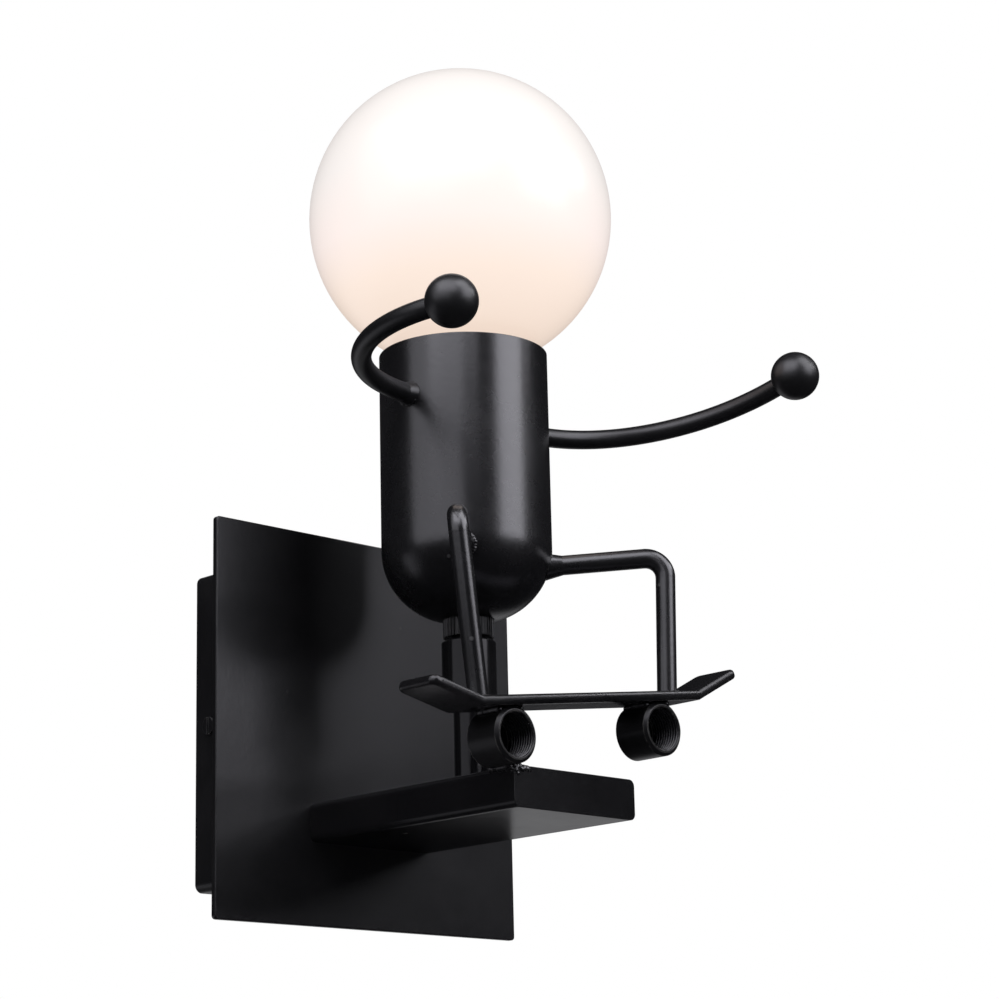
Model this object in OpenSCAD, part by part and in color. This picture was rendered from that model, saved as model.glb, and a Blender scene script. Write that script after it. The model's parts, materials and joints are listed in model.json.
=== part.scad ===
// Wall lamp: a rod figure with a globe lamp for a head, standing on a tilted board above a wall shelf.
// Millimetres. The wall is the plane y = 0 and the room lies towards -y, with +z up.
// The origin is the middle of the wall bracket's back face.

/* [Wall plate] */
// Side of the square backplate
plate_size = 121.6; // [112:0.2:140]
// Thickness of the backplate
plate_t = 2; // [1.5:0.1:3]
// Corner radius of the backplate
plate_corner_r = 1.2; // [0.5:0.1:4]
// Side of the square canopy box behind the backplate
canopy_size = 98; // [92:1:106]
// Depth of the canopy from the wall to the backplate
canopy_depth = 23; // [20:0.5:32]
// Sheet thickness of the canopy
canopy_wall = 1.2; // [0.8:0.1:1.6]
// Corner radius of the canopy, seen from the front
canopy_corner_r = 2.5; // [2:0.5:6]
// How far the middle of the canopy sits below the middle of the backplate
canopy_drop = 1.1; // [0:0.1:3]
// Diameter of the wire hole through canopy and backplate
wire_hole_d = 8; // [7:0.5:8.5]

/* [Wall bracket] */
// Height of the bracket strap on the wall
bracket_w = 20; // [16:1:24]
// Sheet thickness of the bracket
bracket_t = 1.5; // [1.2:0.1:2]
// Depth of the bracket's side ears
ear_depth = 12; // [10:0.5:15]
// Distance between the middles of the two wall slots
slot_spacing = 60; // [50:1:64]
// Width of a wall slot
slot_w = 5; // [4:0.5:6]
// Length of a wall slot from end to end
slot_l = 14; // [10:1:18]
// Thread diameter of the canopy side screws
side_screw_d = 3; // [2.5:0.5:4]
// Distance of the canopy side screws from the wall
side_screw_depth = 7; // [6:0.5:8]

/* [Shelf] */
// Width of the shelf
shelf_w = 49; // [44:1:54]
// Reach of the shelf in front of the backplate
shelf_d = 89; // [84:1:100]
// Height of the shelf's section
shelf_h = 12; // [11:0.5:16]
// Sheet thickness of the shelf
shelf_wall = 1.5; // [1:0.1:1.8]
// Outer corner radius of the shelf's section
shelf_corner_r = 2; // [1.9:0.1:3]
// Height of the shelf's top face, from the middle of the backplate
shelf_top = -23.6; // [-30:0.2:-18]

/* [Stem] */
// Distance of the stem's axis in front of the backplate
stem_forward = 45.5; // [42:0.5:49]
// Outer diameter of the threaded stem tube
stem_d = 10; // [9.5:0.1:10.5]
// Bore of the stem tube
stem_bore = 8; // [7.5:0.1:8.5]
// Diameter of the plain sleeve on the stem
barrel_d = 16.6; // [15:0.2:19]
// Height of the plain sleeve
barrel_h = 18.2; // [14:0.2:22]
// Outer diameter of the knurled ring, over its ribs
ring_d = 15.4; // [14.4:0.2:17]
// Height of the knurled ring
ring_h = 5.6; // [4.5:0.1:7]
// Open groove between the knurled ring and the sleeve
ring_groove = 0.9; // [0.6:0.1:1.5]
// Number of ribs round the knurled ring
ring_ribs = 40; // [30:1:48]
// Size of the stem nuts across their flats
nut_af = 14; // [13.6:0.1:14.4]
// Height of a stem nut inside the cup
nut_h = 4; // [3:0.5:5]

/* [Cup] */
// Outer diameter of the cup
cup_d = 52.2; // [50:0.2:58]
// Height of the cup from its base to its rim
cup_h = 83.7; // [80:0.1:90]
// Wall of the cup
cup_wall = 1.2; // [1:0.1:1.6]
// Radius of the curve between the cup's side and base
cup_base_r = 22; // [20:0.5:23]
// Depth of the flat pressed into the round base as a seat
cup_seat = 0.35; // [0.3:0.05:0.5]
// Height of the cup's base above the shelf
cup_lift = 51.9; // [49:0.1:56]

/* [Arms and legs] */
// Diameter of the arm and leg rods
rod_d = 6; // [5:0.2:7]
// Diameter of the ball hands
hand_d = 15.2; // [13:0.2:18]
// Height of the right arm's root below the rim
right_arm_drop = 21; // [16:0.5:26]
// Bend radius of the right arm
right_arm_r = 59; // [50:1:66]
// Angle through which the right arm bends
right_arm_sweep = 87; // [70:1:100]
// Upward slope of the right arm's bend
right_arm_tilt = 15; // [0:1:20]
// Height of the left arm's root below the rim
left_arm_drop = 17.5; // [14:0.5:26]
// Bend radius of the left arm
left_arm_r = 47; // [42:1:56]
// Angle through which the left arm bends
left_arm_sweep = 103; // [85:1:112]
// Upward slope of the left arm's bend
left_arm_tilt = 3; // [0:1:15]
// Direction of a leg, measured from straight ahead
leg_angle = 46; // [42:1:50]
// Height of the knee above the cup's base
knee_lift = 18.6; // [16:0.1:22]
// Height of the hip above the cup's base
hip_lift = 16.1; // [14:0.1:18]
// Bend radius of the knee, at the middle of the rod
knee_r = 6; // [5:0.5:9]
// Inward lean of the right shin; the left one stands square to the board
right_shin_lean = 2; // [0:0.5:4]
// How much higher the left leg meets the cup than the right one
left_leg_lift = 1.4; // [0:0.1:3]

/* [Board] */
// Width of the board
deck_w = 16; // [14:0.5:20]
// Thickness of the board
deck_t = 3; // [2:0.1:4]
// Length of the board between its two bends, beyond the distance between the knees
deck_spare = 3; // [2:0.5:8]
// Length of each raised end
kick_l = 19; // [14:1:26]
// Angle of the raised ends to the board
kick_angle = 20; // [12:1:30]
// Corner radius of the raised ends, seen from above
deck_corner_r = 2.5; // [1:0.5:5]
// Tilt of the board, right end up
deck_tilt = 7.5; // [4:0.5:9]
// How far the middle of the board lies to the right of the lamp's axis
deck_shift = 3.2; // [0:0.2:5]
// Outer diameter of the wheel tubes
wheel_d = 16.2; // [15:0.2:18]
// Bore of the wheel tubes
wheel_bore = 12.8; // [11:0.2:13]
// Thickness of the closed back of a wheel tube
wheel_back = 1.5; // [1:0.1:3]
// Length of the wheel tubes
wheel_l = 12; // [9:0.1:14]
// How far the middle of the wheel tubes lies in front of the board's middle
wheel_lead = 0.7; // [0:0.1:2]
// How far the middle of the board lies behind the front of the shelf
deck_setback = 1.5; // [1:0.1:4]
// Distance between the two wheel tubes along the board
wheel_spacing = 61.2; // [58:0.1:64]
// How far the pair of wheels sits to the left of the board's middle
wheel_shift = 2.2; // [1:0.1:4]

/* [Lampholder] */
// Height of the centre contact above the cup's base
contact_lift = 39; // [38:0.5:42]
// Outer diameter of the lampholder body
holder_d = 39; // [36:0.5:42]
// Travel of the sprung centre contact
contact_travel = 1.2; // [0.8:0.1:1.5]
// Turns of the contact spring
spring_turns = 4; // [3:1:5]
// Wire diameter of the contact spring
spring_wire = 0.6; // [0.4:0.1:0.7]
// Diameter of an insulated lead
lead_d = 2.2; // [1.8:0.1:2.4]

/* [Bulb] */
// Diameter of the globe
bulb_d = 95; // [90:1:100]
// Height of the bulb's neck, from the screw cap to the globe's collar
neck_h = 10.2; // [8:0.1:16]
// Diameter of the globe's collar
collar_d = 34; // [32:0.5:36]
// Radius of the curve between globe and collar
collar_fillet = 10; // [8:0.5:14]
// Wall of the opal globe
glass_t = 1.2; // [1:0.1:1.6]
// Diameter of the screw cap over its thread
cap_d = 26; // [25.8:0.1:26.4]

/* [Clearances] */
// Gap round fixed pieces that pass through holes
hole_gap = 0.1; // [0.05:0.05:0.2]
// Radial gap of pieces that turn or slide
run_gap = 0.05; // [0.03:0.01:0.1]
// Gap between the faces of pieces that move past each other
face_gap = 0.1; // [0.05:0.05:0.3]
// Gap that a weld bridges
weld_gap = 0.1; // [0.05:0.05:0.3]
// Gap between the bulb's thread and the screw shell
thread_gap = 0.3; // [0.25:0.05:0.4]

/* [Hidden] */
$fn = 64;

paint = [0.05, 0.05, 0.055];
zinc = [0.72, 0.73, 0.75];
brass = [0.78, 0.62, 0.30];
porcelain = [0.93, 0.92, 0.89];
opal = [1.0, 0.95, 0.90];

// Small amount by which a cutting shape passes through what it cuts
cut = 1;
// Overlap of a rod and its bend, and the hair by which the bend is fuller
bend_lap = 0.3;
bend_lip = 0.02;

// Places along y
plate_front = canopy_depth + plate_t;
axis_y = -plate_front - stem_forward;

// Shelf and stem
shelf_mid = shelf_top - shelf_h / 2;
shelf_ceiling = shelf_top - shelf_wall;
shelf_nut_h = 3;
stem_tail = 0.4;
stem_low = shelf_ceiling - shelf_nut_h - stem_tail;
collar_h = 2.2;

// Cup
cup_base = shelf_top + cup_lift;
cup_rim = cup_base + cup_h;
// The base keeps a flat middle, so its curve is limited in a narrow cup
cup_heel = 4;
cup_bend_r = min(cup_base_r, cup_d / 2 - cup_heel);
cup_bend_z = cup_base + cup_bend_r;
cup_inside = cup_base + cup_seat + cup_wall;
seat_r = cup_d / 2 - cup_bend_r + sqrt(pow(cup_bend_r, 2) - pow(cup_bend_r - cup_seat, 2));
ring_top = cup_base + cup_seat - face_gap;
ring_low = ring_top - ring_h;
barrel_top = ring_low - ring_groove;

// Stack of nuts on the stem inside the cup
washer_t = 1;
strap_t = 1.5;
cup_nut_z = cup_inside + washer_t;
strap_z = cup_nut_z + nut_h;
holder_nut_z = strap_z + strap_t;
stem_proud = 1;
stem_high = holder_nut_z + nut_h + stem_proud;

// Lampholder, measured from the bulb's contact
tip_z = cup_base + contact_lift;
foot_drop = 19;
step_drop = 13;
floor_lift = 0.5;
top_lift = 24;
holder_foot = tip_z - foot_drop;
holder_step = tip_z - step_drop;
holder_floor = tip_z + floor_lift;
holder_top = tip_z + top_lift;
holder_waist = 3;
holder_lip = 1.5;
shell_t = 0.6;
shell_sink = 1;
shell_r = cap_d / 2 + thread_gap;
socket_r = shell_r + shell_t + hole_gap;

// Sprung centre contact
button_r = 4.8;
button_t = 1.2;
button_top = tip_z - face_gap;
pocket_r = button_r + 0.8;
spring_room = 5;
pocket_floor = button_top - button_t - contact_travel - spring_room;
plunger_r = 1.6;
plunger_tail = 1;
plunger_low = holder_step - plunger_tail;
spring_r = 3.4;
spring_gap = 0.15;
spring_sides = 6;
spring_rings = 12;
spring_low = pocket_floor + spring_gap + spring_wire / 2;
spring_high = button_top - button_t - spring_gap - spring_wire / 2;

// Lampholder bracket
strap_w = 16;
riser_gap = 1;
riser_y = nut_af / 2 / cos(30) + riser_gap;
foot_l = 5.5;
holder_screw_r = 1.5;
holder_screw_y = riser_y + strap_t + foot_l / 2;
holder_screw_bite = 5;
small_head_r = 2.6;
small_head_h = 1.6;
terminal_gap = 3;
terminal_x = strap_w / 2 + terminal_gap;
terminal_size = [5, 6, 6];

// Bulb
tip_t = 1.6;
insulator_h = 3;
cap_z = tip_z + tip_t + insulator_h;
cap_l = 19;
cap_skirt_z = cap_z + cap_l;
skirt_h = 2.6;
cap_top = cap_skirt_z + skirt_h;
cap_t = 0.5;
cap_mouth_r = 10;
collar_z = cap_top + neck_h;
collar_len = 3;
board_z = collar_z + collar_len;
board_t = 1.6;
globe_r = bulb_d / 2;
fillet_x = collar_d / 2 + collar_fillet;
fillet_z = collar_z + collar_len;
globe_z = fillet_z + sqrt(pow(globe_r + collar_fillet, 2) - pow(fillet_x, 2));

// Rod roots
weld_flare = 1.2;
weld_r = rod_d / 2 + weld_flare;
weld_l = 3.5;
weld_root = 2.4;
root_x = cup_d / 2 - weld_root;
root_forward = 3.5;
hip_depth = 6;
hip_r = cup_d / 2 - hip_depth;
tenon_r = 2;
tenon_l = 5;
hand_seat = sqrt(pow(hand_d / 2, 2) - pow(rod_d / 2 + hole_gap, 2));

// Board, measured from the point of its top face on the axis's plane
knee_forward = shelf_d - stem_forward - deck_setback;
knee_reach = knee_forward / cos(leg_angle);
knee_x = knee_reach * sin(leg_angle);
deck_flat = 2 * knee_x + deck_spare;
wheel_mid = deck_shift - wheel_shift;
wheel_drop = deck_t + weld_gap + wheel_d / 2;
left_wheel_x = (wheel_mid - wheel_spacing / 2) * cos(deck_tilt) + wheel_drop * sin(deck_tilt);
wheel_overhang = max(0, -left_wheel_x - shelf_w / 2);
wheel_reach = wheel_d / 2 + weld_gap;
wheel_rise = sqrt(max(0, pow(wheel_reach, 2) - pow(wheel_overhang, 2)));
left_wheel_z = shelf_top + wheel_rise;
deck_z = left_wheel_z - (wheel_mid - wheel_spacing / 2) * sin(deck_tilt) + wheel_drop * cos(deck_tilt);

// Wall bracket's reach, with its ears just inside the canopy
ear_gap = 0.3;
strap_half = canopy_size / 2 - canopy_wall - ear_gap;
earth_x = 12;
earth_r = 1.6;
earth_head_r = 3.2;
earth_head_h = 2;
side_screw_l = 7;
side_head_r = side_screw_d * 0.9;
side_head_h = 1;

// Terminal block behind the canopy's front
block_size = [20, 12, 18];
block_gap = 3;
block_z = bracket_w / 2 + block_gap;
block_y = canopy_depth - canopy_wall - block_size[1] / 2;
block_rows = [5, 13];
block_hole_r = 1.8;
block_hole_depth = 4;
block_screw_sink = 1;
block_screw_r = 1;
block_head_r = block_hole_r - 0.2;
block_head_h = 1.6;
pole_x = 4;
pole_gap = 0.3;
pole_depth = 5;

// Leads, from the terminal block to the lampholder
lead_gap = 0.5;
lead_x = lead_d / 2 + lead_gap;
lead_bend = 3;
lead_fan = 15;
lead_tail = 4;
lead_z = shelf_mid - 1;
lead_end_z = holder_foot - terminal_size[2] / 2;

// Vector helpers
function unit(v) = v / norm(v);
function swing(u, v) = acos(max(-1, min(1, u * v)));
function toward(u, v) = unit(v - (u * v) * u);

// Angles for rotate() that turn x, y and z onto the three unit vectors
function frame_angles(x, y, z) =
    abs(x[2]) > 0.99999
    ? [x[2] > 0 ? atan2(-y[0], y[1]) : atan2(y[0], y[1]), x[2] > 0 ? -90 : 90, 0]
    : [atan2(y[2], z[2]), -asin(x[2]), atan2(x[1], x[0])];

// Flat outline in x and z, carried from one distance off the wall towards the room
module outward(from, depth) {
    translate([0, -from, 0]) rotate([90, 0, 0]) linear_extrude(depth) children();
}

module on_axis() {
    translate([0, axis_y, 0]) children();
}

// Frame of the tilted board: x along it, z square to it, origin in its top face
module on_deck() {
    translate([0, axis_y - knee_forward, deck_z]) rotate([0, -deck_tilt, 0]) children();
}

module along(direction) {
    rotate([0, acos(direction[2]), atan2(direction[1], direction[0])]) children();
}

module round_rect(w, h, r) {
    square([w - 2 * r, h], center = true);
    square([w, h - 2 * r], center = true);
    for (x = [-1, 1], y = [-1, 1]) {
        translate([x * (w / 2 - r), y * (h / 2 - r)]) circle(r);
    }
}

module disc(r, low, high) {
    translate([0, 0, low]) cylinder(r = r, h = high - low);
}

module tube(r, bore_r, low, high) {
    difference() {
        disc(r, low, high);
        disc(bore_r, low - cut, high + cut);
    }
}

module hex_nut(low, h) {
    difference() {
        translate([0, 0, low]) cylinder(r = nut_af / 2 / cos(30), h = h, $fn = 6);
        disc(stem_d / 2 + hole_gap, low - cut, low + h + cut);
    }
}

// Round bend at a corner, from direction u to direction v, a hair fuller than the rod that laps into it
module bend(corner, u, v, r, bend_r) {
    turn = swing(u, v);
    w = toward(u, v);
    centre = corner - bend_r * tan(turn / 2) * u + bend_r * w;
    translate(centre)
        rotate(frame_angles(-w, u, cross(u, w)))
            rotate_extrude(angle = turn) translate([bend_r, 0]) circle(r + bend_lip);
}

// Round rod along a list of points, with a bend at each inner one
module bent_rod(path, r, bend_r) {
    last = len(path) - 1;
    dirs = [for (i = [0 : last - 1]) unit(path[i + 1] - path[i])];
    trims = [for (i = [0 : last])
        i == 0 || i == last ? 0 : bend_r * tan(swing(dirs[i - 1], dirs[i]) / 2) - bend_lap];
    for (i = [0 : last - 1]) {
        translate(path[i] + trims[i] * dirs[i])
            along(dirs[i])
                cylinder(r = r, h = norm(path[i + 1] - path[i]) - trims[i] - trims[i + 1]);
    }
    for (i = [1 : 1 : last - 1]) {
        bend(path[i], dirs[i - 1], dirs[i], r, bend_r);
    }
}

// Wall side

module wall_slot() {
    square([slot_l - slot_w, slot_w], center = true);
    for (x = [-1, 1]) {
        translate([x * (slot_l - slot_w) / 2, 0]) circle(slot_w / 2);
    }
}

module wall_bracket() {
    color(zinc) difference() {
        union() {
            outward(0, bracket_t) square([2 * strap_half, bracket_w], center = true);
            for (x = [-strap_half, strap_half - bracket_t]) {
                translate([x, -ear_depth, -bracket_w / 2]) cube([bracket_t, ear_depth, bracket_w]);
            }
        }
        outward(-cut, bracket_t + 2 * cut) {
            for (x = [-1, 1]) {
                translate([x * slot_spacing / 2, 0]) wall_slot();
            }
            translate([earth_x, 0]) circle(earth_r + hole_gap);
        }
        translate([0, -side_screw_depth, 0])
            rotate([0, 90, 0])
                cylinder(r = side_screw_d / 2 + hole_gap, h = canopy_size, center = true);
    }
}

module canopy() {
    inner = canopy_size - 2 * canopy_wall;
    color(paint) difference() {
        translate([0, 0, -canopy_drop])
            outward(0, canopy_depth) round_rect(canopy_size, canopy_size, canopy_corner_r);
        translate([0, 0, -canopy_drop]) outward(-cut, canopy_depth - canopy_wall + cut)
            round_rect(inner, inner, canopy_corner_r - canopy_wall);
        translate([0, 0, shelf_mid]) outward(0, canopy_depth + cut) circle(wire_hole_d / 2);
        translate([0, -side_screw_depth, 0])
            rotate([0, 90, 0])
                cylinder(r = side_screw_d / 2 + hole_gap, h = canopy_size + cut, center = true);
    }
}

// Slotted screw along +z with its head's top at the origin
module screw(r, length, head_r, head_h) {
    difference() {
        union() {
            disc(head_r, -head_h, 0);
            disc(r, -head_h - length, -head_h);
        }
        cube([3 * head_r, head_r / 4, head_h], center = true);
    }
}

module canopy_screws() {
    color(paint) for (side = [0, 1]) mirror([side, 0, 0]) {
        translate([canopy_size / 2 + side_head_h, -side_screw_depth, 0])
            rotate([0, 90, 0]) screw(side_screw_d / 2, side_screw_l, side_head_r, side_head_h);
    }
}

module backplate() {
    color(paint) difference() {
        outward(canopy_depth, plate_t) round_rect(plate_size, plate_size, plate_corner_r);
        translate([0, 0, shelf_mid])
            outward(canopy_depth - cut, plate_t + 2 * cut) circle(wire_hole_d / 2);
    }
}

module terminal_block() {
    color(porcelain) difference() {
        translate([-block_size[0] / 2, -block_y - block_size[1] / 2, block_z]) cube(block_size);
        for (x = [-1, 1]) {
            translate([x * pole_x, -block_y, block_z - cut])
                cylinder(r = lead_d / 2 + pole_gap, h = pole_depth + cut);
            for (z = block_rows) {
                translate([x * pole_x, -block_y + block_size[1] / 2 + cut, block_z + z])
                    rotate([90, 0, 0]) cylinder(r = block_hole_r, h = block_hole_depth + cut);
            }
        }
    }
}

module terminal_screws() {
    shank = block_hole_depth - block_screw_sink - block_head_h;
    color(brass) for (x = [-1, 1], z = block_rows) {
        translate([x * pole_x, -block_y + block_size[1] / 2 - block_screw_sink, block_z + z])
            rotate([-90, 0, 0]) screw(block_screw_r, shank, block_head_r, block_head_h);
    }
}

module earth_screw() {
    color(brass) translate([earth_x, -bracket_t - earth_head_h, 0])
        rotate([90, 0, 0]) screw(earth_r, bracket_t, earth_head_r, earth_head_h);
}

// Shelf and stem

module shelf() {
    color(paint) difference() {
        translate([0, 0, shelf_mid]) {
            difference() {
                outward(plate_front, shelf_d) round_rect(shelf_w, shelf_h, shelf_corner_r);
                outward(plate_front - cut, shelf_d - shelf_wall + cut)
                    round_rect(shelf_w - 2 * shelf_wall, shelf_h - 2 * shelf_wall, shelf_corner_r / 4);
            }
        }
        on_axis() disc(stem_d / 2 + hole_gap, shelf_ceiling - cut, shelf_top + cut);
    }
}

module stem_tube() {
    color(paint) on_axis() tube(stem_d / 2, stem_bore / 2, stem_low, stem_high);
}

module shelf_nut() {
    color(zinc) on_axis() hex_nut(shelf_ceiling - shelf_nut_h, shelf_nut_h);
}

module stem_collar() {
    base_r = stem_d / 2 + 2;
    slope = 1.2;
    color(paint) on_axis() difference() {
        translate([0, 0, shelf_top]) cylinder(r1 = base_r, r2 = base_r - slope, h = collar_h);
        disc(stem_d / 2 + hole_gap, shelf_top - cut, shelf_top + collar_h + cut);
    }
}

module barrel() {
    chamfer = 0.8;
    color(paint) on_axis() difference() {
        union() {
            disc(barrel_d / 2, barrel_top - barrel_h, barrel_top - chamfer);
            translate([0, 0, barrel_top - chamfer])
                cylinder(r1 = barrel_d / 2, r2 = barrel_d / 2 - chamfer, h = chamfer);
        }
        disc(stem_d / 2 + hole_gap, barrel_top - barrel_h - cut, barrel_top + cut);
    }
}

// Straight-ribbed ring: its outline steps between rib and valley round the circle
module knurled_ring() {
    rib = 0.45;
    corners = [[0, 0], [0.2, 0], [0.5, rib], [0.7, rib]];
    step = 360 / ring_ribs;
    outline = [for (i = [0 : ring_ribs - 1], corner = corners)
        let (a = (i + corner[0]) * step, r = ring_d / 2 - corner[1])
        [r * cos(a), r * sin(a)]];
    color(paint) on_axis() difference() {
        translate([0, 0, ring_low]) linear_extrude(ring_h) polygon(outline);
        disc(stem_d / 2 + run_gap, ring_low - cut, ring_top + cut);
    }
}

// Cup and what is bolted inside it

// Half of the cup's section, drawn in by an inset all round
module cup_section(inset) {
    bend_r = cup_bend_r - inset;
    heel_x = cup_d / 2 - cup_bend_r;
    floor_z = cup_base + cup_seat + inset;
    translate([0, cup_bend_z]) square([cup_d / 2 - inset, cup_rim - cup_bend_z]);
    intersection() {
        union() {
            translate([heel_x, cup_bend_z]) circle(bend_r);
            translate([0, cup_bend_z - bend_r]) square([heel_x, bend_r]);
        }
        translate([0, floor_z]) square([cup_d / 2, cup_bend_z - floor_z]);
    }
}

// The cup as a full solid, which the rods are cut against
module cup_block() {
    on_axis() rotate_extrude() cup_section(0);
}

module cup() {
    color(paint) on_axis() difference() {
        rotate_extrude() difference() {
            cup_section(0);
            union() {
                cup_section(cup_wall);
                translate([0, cup_rim - cut]) square([cup_d / 2 - cup_wall, 2 * cut]);
            }
        }
        disc(stem_d / 2 + hole_gap, cup_base - cut, cup_inside + cut);
    }
}

module cup_washer() {
    margin = 0.5;
    color(zinc) on_axis() tube(seat_r - margin, stem_d / 2 + hole_gap, cup_inside, cup_nut_z);
}

module cup_nut() {
    color(zinc) on_axis() hex_nut(cup_nut_z, nut_h);
}

module holder_nut() {
    color(zinc) on_axis() hex_nut(holder_nut_z, nut_h);
}

module holder_bracket() {
    rise = holder_foot - strap_z;
    base_l = 2 * (riser_y + strap_t);
    color(zinc) on_axis() difference() {
        union() {
            translate([-strap_w / 2, -base_l / 2, strap_z]) cube([strap_w, base_l, strap_t]);
            for (side = [0, 1]) mirror([0, side, 0]) {
                translate([-strap_w / 2, riser_y, strap_z]) cube([strap_w, strap_t, rise]);
                translate([-strap_w / 2, riser_y, holder_foot - strap_t])
                    cube([strap_w, strap_t + foot_l, strap_t]);
            }
        }
        disc(stem_d / 2 + hole_gap, strap_z - cut, strap_z + strap_t + cut);
        for (y = [-1, 1]) {
            translate([0, y * holder_screw_y, holder_foot - strap_t - cut])
                cylinder(r = holder_screw_r + hole_gap, h = strap_t + 2 * cut);
        }
    }
}

module holder_screws() {
    color(zinc) on_axis() for (y = [-1, 1]) {
        translate([0, y * holder_screw_y, holder_foot - strap_t - small_head_h])
            rotate([180, 0, 0])
                screw(holder_screw_r, strap_t + holder_screw_bite, small_head_r, small_head_h);
    }
}

module holder_body() {
    body_r = holder_d / 2;
    color(porcelain) on_axis() difference() {
        union() {
            disc(body_r - holder_waist, holder_foot, holder_step);
            disc(body_r, holder_step, holder_top - holder_lip);
            translate([0, 0, holder_top - holder_lip])
                cylinder(r1 = body_r, r2 = body_r - holder_lip, h = holder_lip);
        }
        disc(socket_r, holder_floor, holder_top + cut);
        disc(pocket_r, pocket_floor, holder_floor + cut);
        disc(plunger_r + run_gap, holder_foot - cut, pocket_floor + cut);
        for (y = [-1, 1]) {
            translate([0, y * holder_screw_y, holder_foot - cut])
                cylinder(r = holder_screw_r + hole_gap, h = holder_screw_bite + 2 * cut);
        }
    }
}

module screw_shell() {
    ledge = 0.8;
    lip_r = cap_mouth_r + ledge;
    color(brass) on_axis() difference() {
        disc(shell_r + shell_t, holder_floor, holder_top - shell_sink);
        disc(shell_r, holder_floor + shell_t, holder_top);
        disc(lip_r, holder_floor - cut, holder_top);
    }
}

module centre_contact() {
    color(brass) on_axis() {
        disc(button_r, button_top - button_t, button_top);
        disc(plunger_r, plunger_low, button_top - button_t);
    }
}

// Wire ring of the contact spring at one angle along its turns
function spring_ring(angle, z) = [for (i = [0 : spring_sides - 1])
    let (a = i * 360 / spring_sides, r = spring_r + spring_wire / 2 * cos(a))
    [r * cos(angle), r * sin(angle), z + spring_wire / 2 * sin(a)]];

module contact_spring() {
    count = spring_turns * spring_rings;
    points = [for (i = [0 : count])
        each spring_ring(i * 360 / spring_rings, spring_low + (spring_high - spring_low) * i / count)];
    n = spring_sides;
    sides = [for (i = [0 : count - 1], j = [0 : n - 1])
        let (a = i * n + j, b = i * n + (j + 1) % n)
        each [[a, b + n, b], [a, a + n, b + n]]];
    ends = [for (j = [1 : n - 2])
        each [[0, j, j + 1], [count * n, count * n + j + 1, count * n + j]]];
    color(zinc) on_axis() polyhedron(points, concat(sides, ends));
}

module holder_terminals() {
    color(brass) on_axis() for (side = [0, 1]) mirror([side, 0, 0]) {
        translate([terminal_x, -terminal_size[1] / 2, holder_foot - terminal_size[2]])
            cube(terminal_size);
    }
}

// Lead from the terminal block through the shelf and up the stem, on one side of the middle plane
module lead(side) {
    bent_rod([
        [side * pole_x, -block_y, block_z + lead_tail],
        [side * pole_x, -block_y, 0],
        [side * lead_x, -block_y, -lead_fan],
        [side * lead_x, -block_y, lead_z],
        [side * lead_x, axis_y, lead_z],
        [side * lead_x, axis_y, lead_end_z],
        [side * terminal_x, axis_y, lead_end_z]], lead_d / 2, lead_bend);
}

module live_lead() {
    color("saddlebrown") lead(1);
}

module neutral_lead() {
    color("royalblue") lead(-1);
}

// Bulb

// Half section of the globe and its collar, drawn in by an inset
module globe_section(inset) {
    r = globe_r - inset;
    neck_r = collar_d / 2 - inset;
    fillet_r = collar_fillet + inset;
    meet = r / (r + fillet_r);
    meet_z = globe_z - meet * (globe_z - fillet_z);
    intersection() {
        translate([0, globe_z]) circle(r, $fn = 128);
        translate([0, globe_z - r]) square([r, 2 * r]);
    }
    difference() {
        translate([0, collar_z]) square([fillet_x * meet, meet_z - collar_z]);
        translate([fillet_x, fillet_z]) circle(fillet_r);
        translate([neck_r, collar_z - cut]) square([fillet_x, fillet_z - collar_z + cut]);
    }
}

module bulb_globe() {
    color(opal) on_axis() rotate_extrude() difference() {
        globe_section(0);
        globe_section(glass_t);
        translate([0, collar_z - cut]) square([collar_d / 2 - glass_t, 2 * cut]);
    }
}

module bulb_neck() {
    base_r = cap_d / 2 + 0.9;
    plug_l = 6;
    plug_r = cap_d / 2 - cap_t - hole_gap;
    spigot_r = collar_d / 2 - glass_t - hole_gap;
    color(porcelain) on_axis() {
        disc(plug_r, cap_skirt_z - plug_l, cap_top);
        translate([0, 0, cap_top]) cylinder(r1 = base_r, r2 = collar_d / 2, h = collar_z - cap_top);
        disc(spigot_r, collar_z, board_z);
    }
}

module bulb_led_board() {
    margin = 1;
    board_r = collar_d / 2 - glass_t - margin;
    chips = 12;
    chip = [2.8, 2.8, 0.7];
    chip_inset = 4;
    color("white") on_axis() {
        disc(board_r, board_z, board_z + board_t);
        for (i = [0 : chips - 1]) {
            rotate([0, 0, i * 360 / chips])
                translate([board_r - chip_inset, -chip[1] / 2, board_z + board_t]) cube(chip);
        }
    }
}

module bulb_cap() {
    mouth_h = 1.8;
    skirt_r = cap_d / 2 + 0.6;
    color(zinc) on_axis() difference() {
        union() {
            translate([0, 0, cap_z]) cylinder(r1 = cap_mouth_r + cap_t, r2 = cap_d / 2, h = mouth_h);
            disc(cap_d / 2, cap_z + mouth_h, cap_skirt_z);
            disc(skirt_r, cap_skirt_z, cap_top);
        }
        disc(cap_mouth_r, cap_z - cut, cap_z + mouth_h);
        disc(cap_d / 2 - cap_t, cap_z + mouth_h, cap_top + cut);
    }
}

module bulb_insulator() {
    plug_h = 1.2;
    plug_r = cap_mouth_r - hole_gap;
    ledge = 0.6;
    color("dimgray") on_axis() {
        translate([0, 0, tip_z + tip_t]) cylinder(r1 = button_r + ledge, r2 = plug_r, h = insulator_h);
        disc(plug_r, cap_z, cap_z + plug_h);
    }
}

module bulb_tip() {
    slope = 0.6;
    color(zinc) on_axis() translate([0, 0, tip_z])
        cylinder(r1 = button_r - slope, r2 = button_r, h = tip_t);
}

// Rod figure

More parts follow.
